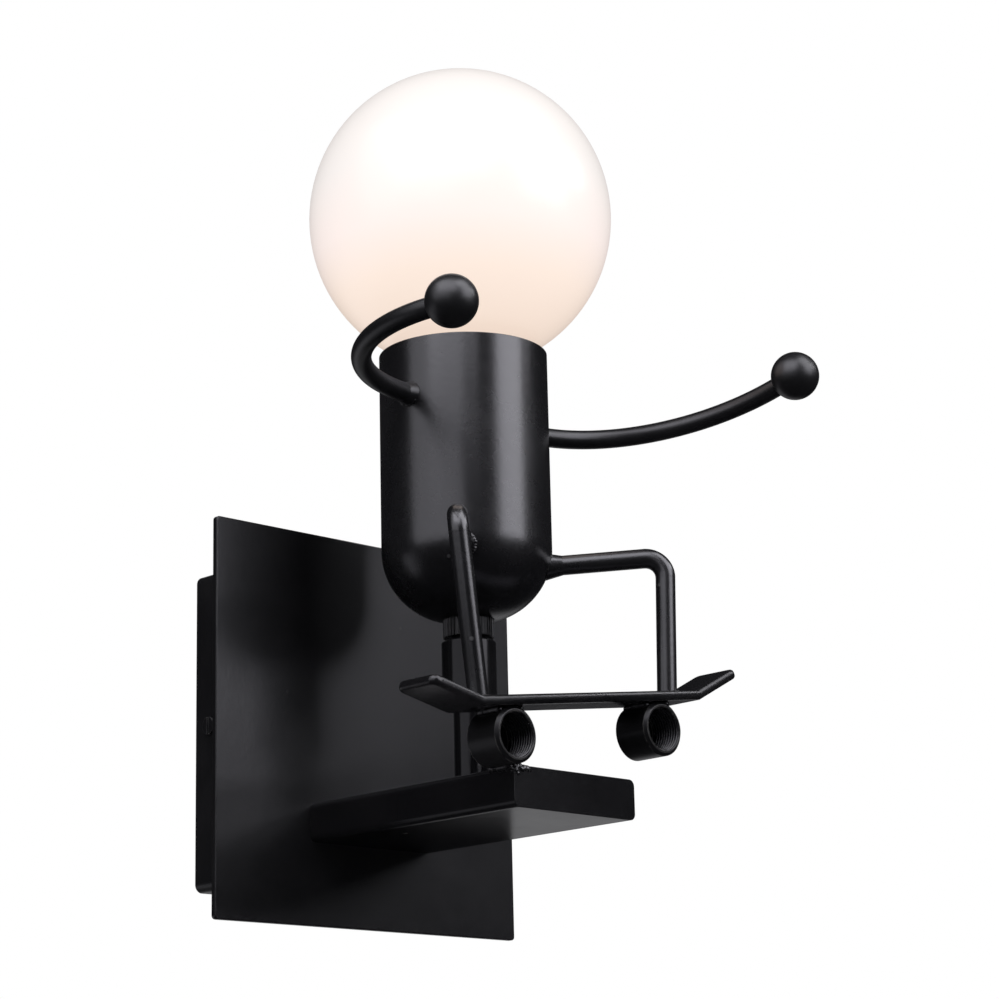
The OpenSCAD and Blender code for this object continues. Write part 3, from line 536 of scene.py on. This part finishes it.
def moulded(name, colour, shade, roughness, grain, pinholes=0.0):
    """Non-metal with slow colour changes, a fine grain and, for a glaze, pinholes."""
    material, tree = new_material(name)
    place = object_coordinates(tree)
    soft, sharp_edges = rounded(tree, MOULDED_EDGE)
    cloud = noise(place, CLOUD_SCALE, 3.0)
    fine = noise(place, GRAIN_SCALE, 2.0)
    distance, lot = cells(place, PINHOLE_CELLS)
    holes = (lot > PINHOLE_FREE) * (1.0 - distance.step(*PINHOLE_RIM)) * pinholes
    tone = blend_colours(cloud.step(*CLOUD_LEVELS), colour, shade)
    dirt = (holes * PINHOLE_DIRT + sharp_edges * EDGE_DIRT).held()
    tone = blend_colours(dirt, tone, tuple(DIRT_SHADE * c for c in shade))
    least = roughness - (CLOUD_GLOSS + GRAIN_GLOSS) / 2
    gloss = cloud * CLOUD_GLOSS + fine * GRAIN_GLOSS + holes * PINHOLE_GLOSS + least
    normal = bumped(fine * grain - holes, 1.0, MOULDED_BUMP, soft)
    principled(tree, Base_Color=tone, Roughness=gloss.held(), Normal=normal)
    return material


porcelain = moulded("glazed_porcelain", colour=(0.86, 0.85, 0.81), shade=(0.80, 0.78, 0.72),
                    roughness=0.14, grain=0.1, pinholes=1.0)
cream = moulded("cream_plastic", colour=(0.80, 0.76, 0.66), shade=(0.74, 0.69, 0.58),
                roughness=0.42, grain=0.7)
white_plastic = moulded("white_plastic", colour=(0.82, 0.82, 0.80), shade=(0.77, 0.77, 0.74),
                        roughness=0.40, grain=0.6)
glass_black = moulded("black_glass", colour=(0.02, 0.02, 0.024), shade=(0.035, 0.03, 0.035),
                      roughness=0.10, grain=0.1)
brown_lead = moulded("brown_insulation", colour=(0.16, 0.065, 0.03), shade=(0.12, 0.045, 0.02),
                     roughness=0.46, grain=0.4)
blue_lead = moulded("blue_insulation", colour=(0.03, 0.10, 0.36), shade=(0.02, 0.075, 0.28),
                    roughness=0.46, grain=0.4)
print("finishes so far:", len(bpy.data.materials))

# %% [markdown]
# ## Bulb
# The opal globe is lit in the photograph. It is near white on top and turns a warm cream towards its
# collar. The glow is an emission whose colour follows the height. The studio lights add to it, most of all
# on top, so the written colour is darker there. Clear glass lies over the opal layer, as a coat that
# reflects the studio. Below the globe, the board of light chips is white with yellow chips, told apart by
# their height.

# %% Opal globe and chip board
globe_low, globe_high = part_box("bulb_globe")
board_low, board_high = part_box("bulb_led_board")
CHIP_HEIGHT = 0.0007
CHIP_SHARE = 0.9
GLOW_TOP = (0.90, 0.845, 0.82)
GLOW_MIDDLE = (0.99, 0.86, 0.815)
GLOW_LOW = (1.0, 0.825, 0.712)
GLOW_FOOT = (0.96, 0.775, 0.652)
GLOW_STRENGTH = 0.89
GLOW_STOPS = [(0.12, GLOW_FOOT), (0.26, GLOW_LOW), (0.40, GLOW_MIDDLE), (0.60, GLOW_TOP)]
GLOW_WAVER = 0.06
OPAL_SKIN = ((0.15, 0.145, 0.14), (0.13, 0.125, 0.12))
# Clouds in the opal layer, ripples in the glass and grain on the board, in features per metre
OPAL_CLOUDS = 14.0
OPAL_RIPPLES = 45.0
BOARD_GRAIN = 300.0
RIPPLE_GLOSS = 0.1
RIPPLE_BUMP = 0.0002
BOARD_WHITE = ((0.84, 0.83, 0.80), (0.78, 0.77, 0.73))
CHIP_YELLOW = ((0.82, 0.60, 0.12), (0.74, 0.50, 0.08))


def height_in(place, low, high):
    """How far up between two heights a place is, from 0 to 1."""
    split = Wire.node(place.tree, "ShaderNodeSeparateXYZ", None, {"Vector": place}, out="Z")
    sockets = {"Value": split, "From Min": low, "From Max": high}
    return Wire.node(place.tree, "ShaderNodeMapRange", None, sockets)


def opal_glass():
    """Glowing opal layer under clear glass."""
    material, tree = new_material("opal_glass")
    place = object_coordinates(tree)
    rise = height_in(place, globe_low.z, globe_high.z)
    cloud = noise(place, OPAL_CLOUDS, 3.0)
    ripple = noise(place, OPAL_RIPPLES, 2.0)
    lift = rise + (cloud - 0.5) * GLOW_WAVER
    glow = Wire.node(tree, "ShaderNodeValToRGB", {"stops": GLOW_STOPS}, {"Fac": lift})
    skin = blend_colours(cloud, *OPAL_SKIN)
    gloss = ripple * RIPPLE_GLOSS + 0.45
    sockets = {"Height": ripple, "Strength": 0.1, "Distance": RIPPLE_BUMP}
    normal = Wire.node(tree, "ShaderNodeBump", None, sockets)
    principled(tree, Base_Color=skin, Roughness=gloss, Specular_IOR_Level=0.2, Coat_Weight=0.6,
               Coat_Roughness=0.25, Emission_Color=glow, Emission_Strength=GLOW_STRENGTH, Normal=normal)
    return material


def chip_board():
    """White board with yellow chips on it."""
    material, tree = new_material("chip_board")
    place = object_coordinates(tree)
    rise = height_in(place, board_low.z, board_high.z)
    chip = rise > 1.0 - CHIP_SHARE * CHIP_HEIGHT / (board_high.z - board_low.z)
    cloud = noise(place, BOARD_GRAIN, 3.0)
    mask = blend_colours(cloud, *BOARD_WHITE)
    resin = blend_colours(cloud, *CHIP_YELLOW)
    normal = bumped(cloud, 0.3, MOULDED_BUMP, rounded(tree, METAL_EDGE)[0])
    tone = blend_colours(chip, mask, resin)
    principled(tree, Base_Color=tone, Roughness=0.5 - chip * 0.2, Normal=normal)
    return material


opal = opal_glass()
board = chip_board()
print("globe from", round(globe_low.z, 4), "to", round(globe_high.z, 4))

# %% [markdown]
# ## Handing out the finishes
# The record names a material slot for each node, and the slot gives the finish. The painted pieces that
# came out duller or smoother than the cup take the paint of their kind instead.

# %% Finishes on the CAD nodes
FINISH = {"black_paint": cup_black, "zinc_steel": zinc, "brass": brass, "porcelain": porcelain,
          "cream_plastic": cream, "opal_glass": opal, "white_plastic": white_plastic, "led_board": board,
          "dark_insulator": glass_black, "brown_lead": brown_lead, "blue_lead": blue_lead}
PAINTS = {"backplate": plate_black, "canopy": plate_black, "canopy_screws": plate_black,
          "shelf": shelf_black, "deck": deck_black, "stem_tube": stem_black, "stem_collar": stem_black,
          "barrel": stem_black, "knurled_ring": stem_black, "left_arm": arm_black,
          "right_arm": arm_black, "left_hand": arm_black, "right_hand": arm_black,
          "left_wheel": rim_black, "right_wheel": rim_black}
for part in frame["record"]["subparts"]:
    mesh = nodes[part["node"]].data
    mesh.materials.clear()
    mesh.materials.append(PAINTS.get(part["node"], FINISH[part["material_slot"]]))

# %% [markdown]
# ## Eased edges
# The board was cut from strip and its edges were eased with a file, so a bright line runs along them. The
# wall plate's sheet has much smaller rounds. The loaded meshes are loose triangles. Three modifiers join
# them, dissolve the lines inside flat faces and round what is left, without touching the mesh itself.

# %% Eased edges
EDGE_ROUNDS = {"deck": 0.0011, "backplate": 0.0003}
JOIN_DISTANCE = 1e-6
FLAT_ANGLE = math.radians(1.0)
SHARP_ANGLE = math.radians(40.0)
ROUND_STEPS = 3


def ease_edges(piece, radius):
    """Rounds a CAD node's sharp edges with modifiers alone."""
    piece.modifiers.new("join", "WELD").merge_threshold = JOIN_DISTANCE
    flat = piece.modifiers.new("flat_faces", "DECIMATE")
    flat.decimate_type = "DISSOLVE"
    flat.angle_limit = FLAT_ANGLE
    ease = piece.modifiers.new("eased", "BEVEL")
    ease.width = radius
    ease.segments = ROUND_STEPS
    ease.limit_method = "ANGLE"
    ease.angle_limit = SHARP_ANGLE
    ease.harden_normals = True


for name, radius in EDGE_ROUNDS.items():
    ease_edges(nodes[name], radius)
print("eased:", sorted(EDGE_ROUNDS))

# %% [markdown]
# ## Trees that make meshes
# Threads and weld beads repeat along a line, so Geometry Nodes make them. This helper opens a tree with
# named inputs. Another runs a tree on a small carrier mesh, takes the result as a plain mesh at the
# origin and throws the carrier away, so that the finished piece has no modifier left.

# %% Geometry tree helpers
SOCKETS = {"float": "NodeSocketFloat", "int": "NodeSocketInt", "turn": "NodeSocketRotation",
           "material": "NodeSocketMaterial"}


def open_tree(name, inputs):
    """A geometry tree with named inputs; returns it and its input sockets."""
    tree = bpy.data.node_groups.new(name, "GeometryNodeTree")
    tree.interface.new_socket("Geometry", in_out="INPUT", socket_type="NodeSocketGeometry")
    tree.interface.new_socket("Geometry", in_out="OUTPUT", socket_type="NodeSocketGeometry")
    for label, kind in inputs.items():
        tree.interface.new_socket(label, in_out="INPUT", socket_type=SOCKETS[kind])
    group = tree.nodes.new("NodeGroupInput")
    return tree, {socket.name: Wire(socket) for socket in group.outputs if socket.name}


def close_tree(geometry, material):
    """Ends a tree in real geometry with smooth faces and a material."""
    tree = geometry.tree
    real = Wire.node(tree, "GeometryNodeRealizeInstances", None, {"Geometry": geometry})
    smooth = Wire.node(tree, "GeometryNodeSetShadeSmooth", None, {"Geometry": real})
    painted = Wire.node(tree, "GeometryNodeSetMaterial", None, {"Geometry": smooth, "Material": material})
    Wire.node(tree, "NodeGroupOutput", None, {"Geometry": painted})


def grown(name, tree, carrier, values):
    """Runs a tree on a carrier mesh and returns the plain result as a new object."""
    source = bpy.data.objects.new(name + "_carrier", carrier)
    scene.collection.objects.link(source)
    modifier = source.modifiers.new("grow", "NODES")
    modifier.node_group = tree
    for item in tree.interface.items_tree:
        if item.in_out == "INPUT" and item.name in values:
            modifier[item.identifier] = values[item.name]
    graph = bpy.context.evaluated_depsgraph_get()
    mesh = bpy.data.meshes.new_from_object(source.evaluated_get(graph))
    bpy.data.objects.remove(source)
    piece = bpy.data.objects.new(name, mesh)
    scene.collection.objects.link(piece)
    print(name, "has", len(mesh.polygons), "faces")
    return piece


def points_mesh(name, points, edges=()):
    mesh = bpy.data.meshes.new(name)
    mesh.from_pydata([tuple(p) for p in points], list(edges), [])
    return mesh


print("tree inputs can be", sorted(SOCKETS))

# %% [markdown]
# ## Threads
# The two wheels are short ends of threaded tube, and the thread shows in their bores. The bulb's cap and
# the lampholder's shell have the coarse round thread of a screw lamp. A spiral with a small round section
# makes the ridge, and it stands partly in the wall that carries it. A point of the carrier says where each
# spiral starts. The node's own spiral is left-handed, so it is reversed: screws tighten clockwise.

# %% Thread tree
SPIRAL_STEPS = 40
SECTION_SIDES = 8
UPRIGHT = (0.0, 0.0, 0.0)
thread_inputs = {"Radius": "float", "Turns": "float", "Length": "float", "Ridge": "float", "Axis": "turn",
                 "Finish": "material"}
thread_tree, given = open_tree("thread", thread_inputs)
spiral = Wire.node(thread_tree, "GeometryNodeCurveSpiral", None, {
    "Resolution": SPIRAL_STEPS, "Rotations": given["Turns"], "Start Radius": given["Radius"],
    "End Radius": given["Radius"], "Height": given["Length"], "Reverse": True})
section = Wire.node(thread_tree, "GeometryNodeCurvePrimitiveCircle", None,
                    {"Resolution": SECTION_SIDES, "Radius": given["Ridge"]})
ridge = Wire.node(thread_tree, "GeometryNodeCurveToMesh", None,
                  {"Curve": spiral, "Profile Curve": section, "Fill Caps": True})
spread = Wire.node(thread_tree, "GeometryNodeInstanceOnPoints", None,
                   {"Points": given["Geometry"], "Instance": ridge, "Rotation": given["Axis"]})
close_tree(spread, given["Finish"])
print("thread tree:", len(thread_tree.nodes), "nodes")

# %% [markdown]
# The wheels' bores lie along y and are closed at the back. A thread of 1 mm pitch runs from the closed end
# to the mouth.

# %% Threads in the wheels
WHEEL_BORE_R = 0.0064
WHEEL_BACK = 0.0015
WHEEL_PITCH = 0.001
WHEEL_RIDGE = 0.00034
WHEEL_SINK = 0.0001
WHEEL_MARGIN = 0.0007
TOWARDS_ROOM = (math.radians(90), 0.0, 0.0)
starts = []
for name in ("left_wheel", "right_wheel"):
    low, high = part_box(name)
    middle = (low + high) / 2
    starts.append((middle.x, high.y - WHEEL_BACK - WHEEL_MARGIN, middle.z))
wheel_run = high.y - low.y - WHEEL_BACK - 2 * WHEEL_MARGIN
wheel_threads = grown("wheel_threads", thread_tree, points_mesh("bores", starts), {
    "Radius": WHEEL_BORE_R + WHEEL_SINK, "Turns": wheel_run / WHEEL_PITCH, "Length": wheel_run,
    "Ridge": WHEEL_RIDGE, "Axis": TOWARDS_ROOM, "Finish": cup_black})
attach(wheel_threads, "lamp_frame")

# %% [markdown]
# The bulb's thread has 7 turns to the inch. The ridge on the cap and the one in the shell are half a turn
# apart, and both keep their place as the bulb screws out, because it rises by just the thread's pitch.

# %% Threads of bulb and lampholder
LAMP_PITCH = 0.0254 / 7
cap_low, cap_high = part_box("bulb_cap")
shell_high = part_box("screw_shell")[1]
axis_point = (cap_low + cap_high) / 2
CAP_R = 0.013
CAP_TURNS = 4
CAP_PLAIN = 0.003
LAMP_PLAY = 0.0003
SHELL_R = CAP_R + LAMP_PLAY
SHELL_PLAIN = 0.001
LAMP_RIDGE = 0.0006
LAMP_SINK = 0.0004
cap_start = cap_low.z + CAP_PLAIN
cap_point = points_mesh("cap", [(axis_point.x, axis_point.y, cap_start)])
cap_thread = grown("bulb_cap_thread", thread_tree, cap_point, {
    "Radius": CAP_R - LAMP_SINK, "Turns": float(CAP_TURNS), "Length": CAP_TURNS * LAMP_PITCH,
    "Ridge": LAMP_RIDGE, "Axis": UPRIGHT, "Finish": zinc})
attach(cap_thread, "bulb")
shell_start = cap_start + LAMP_PITCH / 2
shell_turns = math.floor((shell_high.z - SHELL_PLAIN - shell_start) / LAMP_PITCH)
shell_point = points_mesh("shell", [(axis_point.x, axis_point.y, shell_start)])
shell_thread = grown("screw_shell_thread", thread_tree, shell_point, {
    "Radius": SHELL_R + LAMP_SINK, "Turns": float(shell_turns), "Length": shell_turns * LAMP_PITCH,
    "Ridge": LAMP_RIDGE, "Axis": UPRIGHT, "Finish": brass})
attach(shell_thread, "lamp_frame")

# %% [markdown]
# Under the lampholder's centre contact a wire spring gives way as the bulb is screwed in. It is a spiral
# too, so the same tree makes it. It rides with the contact.

# %% Contact spring
SPRING_WIRE_R = 0.0003
SPRING_TURNS = 4.0
press = next(joint for joint in frame["joints"] if joint["name"] == "contact_press")
coil_low, coil_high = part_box("contact_spring")
coil_tall = coil_high.z - coil_low.z
coil_start = points_mesh("coil", [(axis_point.x, axis_point.y, coil_low.z + SPRING_WIRE_R)])
coil = grown("contact_spring_coil", thread_tree, coil_start, {
    "Radius": (coil_high.y - coil_low.y) / 2 - SPRING_WIRE_R, "Turns": SPRING_TURNS,
    "Length": coil_tall - 2 * SPRING_WIRE_R, "Ridge": SPRING_WIRE_R, "Axis": UPRIGHT, "Finish": zinc})
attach(coil, "contact")
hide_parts("contact_spring")
1 - press["range_m"][1] / coil_tall
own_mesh(coil)
print("spring", round(1000 * coil_tall, 2), "mm tall")

# %% [markdown]
# ## Weld beads
# Arms and legs are welded to the cup, and the legs' feet to the board. Under the paint each weld is a
# ring of small overlapping ripples. This tree walks along any line and sets a drop of uneven size at each
# step, shaken a little off the line where the weld is a coarse one.

# %% Weld tree
DROP_LEAST = (0.75, 0.8, 0.65)
DROP_MOST = (1.0, 1.25, 1.1)
weld_inputs = {"Drop": "float", "Spacing": "float", "Shake": "float", "Seed": "int", "Finish": "material"}
weld_tree, given = open_tree("weld_ripples", weld_inputs)
seam = Wire.node(weld_tree, "GeometryNodeMeshToCurve", None, {"Mesh": given["Geometry"]})
stations = Wire.node(weld_tree, "GeometryNodeResampleCurve", {"mode": "LENGTH"},
                     {"Curve": seam, "Length": given["Spacing"]})
way = Wire.node(weld_tree, "FunctionNodeRandomValue", {"data_type": "FLOAT_VECTOR"},
                {"Min": (-1.0, -1.0, -1.0), "Max": (1.0, 1.0, 1.0), "Seed": given["Seed"]})
push = Wire.node(weld_tree, "ShaderNodeVectorMath", {"operation": "SCALE"},
                 {0: way, "Scale": given["Shake"]})
shaken = Wire.node(weld_tree, "GeometryNodeSetPosition", None, {"Geometry": stations, "Offset": push})
line = Wire.node(weld_tree, "GeometryNodeInputTangent")
drop = Wire.node(weld_tree, "GeometryNodeMeshIcoSphere", None,
                 {"Radius": given["Drop"], "Subdivisions": 2})
facing = Wire.node(weld_tree, "FunctionNodeAlignRotationToVector", {"axis": "X"}, {"Vector": line})
size = Wire.node(weld_tree, "FunctionNodeRandomValue", {"data_type": "FLOAT_VECTOR"},
                 {"Min": DROP_LEAST, "Max": DROP_MOST, "Seed": given["Seed"]})
beads = Wire.node(weld_tree, "GeometryNodeInstanceOnPoints", None,
                  {"Points": shaken, "Instance": drop, "Rotation": facing, "Scale": size})
close_tree(beads, given["Finish"])
print("weld tree:", len(weld_tree.nodes), "nodes")

# %% [markdown]
# A weld lies where a rod's end meets another piece. A search tree of that piece's triangles gives the
# distance of any point from it. The rod's vertices nearest to the piece are its end, and the next ones
# along give its direction.

# %% Rod ends
ROD_R = 0.003
END_BAND = 0.0006
NEXT_BAND = 0.0040


def search_tree(name):
    mesh = nodes[name].data
    faces = [tuple(face.vertices) for face in mesh.polygons]
    return BVHTree.FromPolygons([v.co.copy() for v in mesh.vertices], faces)


def mean(points):
    return sum(points, Vector()) / len(points)


def rod_end(name, target):
    """Middle of the rod's end on a piece, and the direction in which the rod leaves it."""
    spots = [v.co.copy() for v in nodes[name].data.vertices]
    gaps = [target.find_nearest(p)[3] for p in spots]
    least = min(gaps)
    first = mean([p for p, gap in zip(spots, gaps) if gap < least + END_BAND])
    further = sorted(gap for gap in gaps if gap > least + NEXT_BAND)[0]
    second = mean([p for p, gap in zip(spots, gaps) if abs(gap - further) < NEXT_BAND])
    return first, (second - first).normalized()


cup_search = search_tree("cup")
deck_search = search_tree("deck")
for name in ("left_arm", "right_arm", "left_leg", "right_leg"):
    place, along = rod_end(name, cup_search)
    print(name, [round(1000 * v, 1) for v in place], [round(v, 2) for v in along])

# %% [markdown]
# Rays in a ring round the rod, thrown back along it, find the seam on the other piece.

# %% Seams found with rays
RAY_STEPS = 40
RAY_START = 0.004
SEAM_CLEAR = 0.0003


def ring_on(target, place, along, radius):
    """Points where rays, set in a ring round a rod's end, meet a piece."""
    side = along.orthogonal().normalized()
    other = along.cross(side)
    found = []
    for i in range(RAY_STEPS):
        turn = 2 * math.pi * i / RAY_STEPS
        origin = place + RAY_START * along + radius * (math.cos(turn) * side + math.sin(turn) * other)
        hit = target.ray_cast(origin, -along)[0]
        if hit is not None:
            found.append(hit)
    return found


SEAMS = [("left_arm", cup_search), ("right_arm", cup_search), ("left_leg", cup_search),
         ("right_leg", cup_search), ("left_leg", deck_search), ("right_leg", deck_search)]
seam_points = []
seam_edges = []
for name, target in SEAMS:
    ring = ring_on(target, *rod_end(name, target), ROD_R + SEAM_CLEAR)
    first = len(seam_points)
    seam_points += ring
    seam_edges += [(first + i, first + (i + 1) % len(ring)) for i in range(len(ring))]
print("seam points", len(seam_points))

# %% [markdown]
# The seams' points, joined into six rings, are the carrier on which the tree sets its ripples. All of them
# ride with the lamp's frame, so they are one piece. These welds are neat, so nothing is shaken here.

# %% Weld beads
weld_beads = grown("weld_beads", weld_tree, points_mesh("seams", seam_points, seam_edges), {
    "Drop": 0.0008, "Spacing": 0.0009, "Shake": 0.0, "Seed": 4, "Finish": cup_black})
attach(weld_beads, "lamp_frame")

# %% [markdown]
# The wheels' welds are coarser. Beads run along the wheels in the corners under the board, and their lines
# come from the beads' own vertices. Where the left wheel sits on the shelf's edge the metal has run out
# into larger lumps, at the shelf's front corner and again behind the wheel. Their lines are given as
# offsets from the corner and from the wheel's back end.

# %% Coarse welds of the wheels
BEAD_GAP = 0.002


def bead_lines(name):
    """Ends of a line through each bead of a node; the beads lie along y, apart in x."""
    spots = sorted((v.co.copy() for v in nodes[name].data.vertices), key=lambda p: p.x)
    beads = [[spots[0]]]
    for spot in spots[1:]:
        if spot.x - beads[-1][-1].x > BEAD_GAP:
            beads.append([])
        beads[-1].append(spot)
    lines = []
    for bead in beads:
        middle = mean(bead)
        reach = [p.y for p in bead]
        lines.append([Vector((middle.x, y, middle.z)) for y in (min(reach), max(reach))])
    return lines


def weld_run(name, lines, drop, spacing, shake, seed):
    """Weld metal along open lines, as one piece of the lamp's frame."""
    points = []
    edges = []
    for line in lines:
        edges += [(len(points) + i, len(points) + i + 1) for i in range(len(line) - 1)]
        points += line
    piece = grown(name, weld_tree, points_mesh(name + "_line", points, edges), {
        "Drop": drop, "Spacing": spacing, "Shake": shake, "Seed": seed, "Finish": cup_black})
    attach(piece, "lamp_frame")


shelf_low, shelf_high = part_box("shelf")
corner = Vector((shelf_low.x, shelf_low.y, shelf_high.z))
behind = Vector((shelf_low.x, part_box("left_wheel")[1].y, shelf_high.z))
front_lumps = [(-0.0012, 0.0012, 0.0), (0.0010, 0.0008, -0.0006), (0.0062, 0.0008, -0.0010)]
side_lumps = [(0.0012, 0.0008, -0.0008), (0.0014, 0.0008, -0.0026)]
back_lumps = [(0.0004, -0.0012, 0.0002), (0.0008, 0.0026, -0.0002)]
lump_lines = [[corner + Vector(p) for p in front_lumps], [corner + Vector(p) for p in side_lumps],
              [behind + Vector(p) for p in back_lumps]]
weld_run("wheel_weld_beads", bead_lines("wheel_welds"), drop=0.0009, spacing=0.0008, shake=0.00015, seed=9)
weld_run("shelf_weld_lumps", lump_lines, drop=0.0013, spacing=0.0009, shake=0.0004, seed=5)
